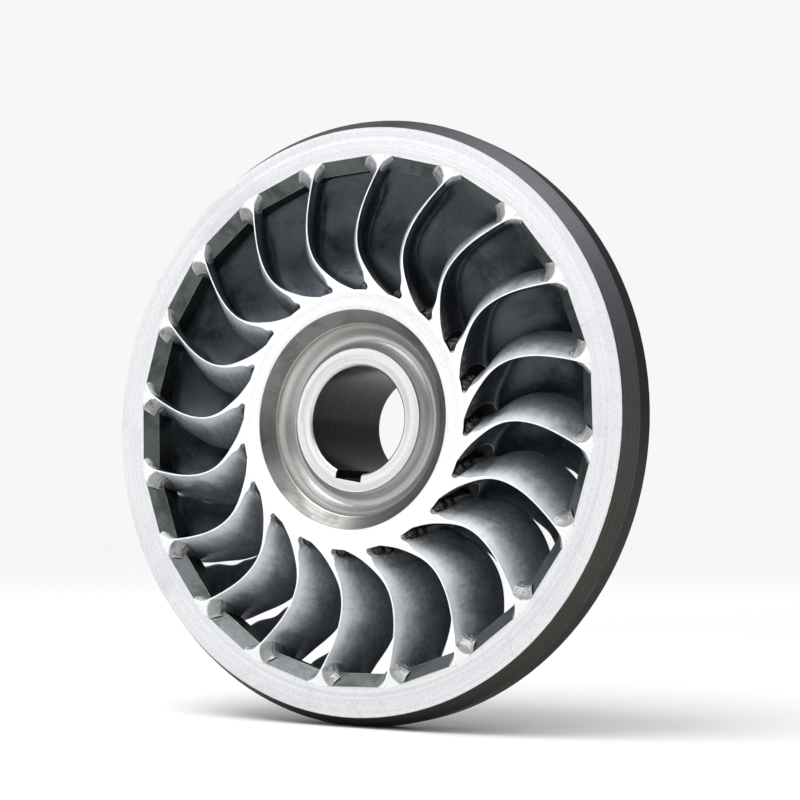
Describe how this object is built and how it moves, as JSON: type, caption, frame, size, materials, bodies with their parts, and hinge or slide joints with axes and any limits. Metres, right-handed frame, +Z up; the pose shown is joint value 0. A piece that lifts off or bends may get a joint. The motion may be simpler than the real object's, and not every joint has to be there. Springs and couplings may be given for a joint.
{
  "type": "turbine runner wheel",
  "caption": "Inclined-jet water turbine runner: keyed bored hub in a dished recess, curved scoop blades welded inside a heavy outer band with flat bevelled pockets.",
  "frame": {"origin": "on the wheel's axis, in the middle of its overall length, inside the bore", "axes": "+Y along the spin axis from the inlet face to the outlet side, +Z up, +X to the right seen from the inlet side"},
  "size_m": [0.4999, 0.121, 0.5],
  "materials": {
    "machined_steel": "turned bright steel on the faces, darker on the sides",
    "cast_blade_steel": "dark ground and fettled cast steel, satin",
    "weld_metal": "rough dressed weld metal"
  },
  "bodies": {
    "root": {"hub": "machined_steel", "outer_band": "machined_steel", "blade_01": "cast_blade_steel", "blade_02": "cast_blade_steel", "blade_03": "cast_blade_steel", "blade_04": "cast_blade_steel", "blade_05": "cast_blade_steel", "blade_06": "cast_blade_steel", "blade_07": "cast_blade_steel", "blade_08": "cast_blade_steel", "blade_09": "cast_blade_steel", "blade_10": "cast_blade_steel", "blade_11": "cast_blade_steel", "blade_12": "cast_blade_steel", "blade_13": "cast_blade_steel", "blade_14": "cast_blade_steel", "blade_15": "cast_blade_steel", "blade_16": "cast_blade_steel", "blade_17": "cast_blade_steel", "blade_18": "cast_blade_steel", "blade_19": "cast_blade_steel", "blade_20": "cast_blade_steel", "trailing_side_welds": "weld_metal", "leading_side_welds": "weld_metal", "root_weld_beads": "weld_metal"}
  },
  "joints": []
}
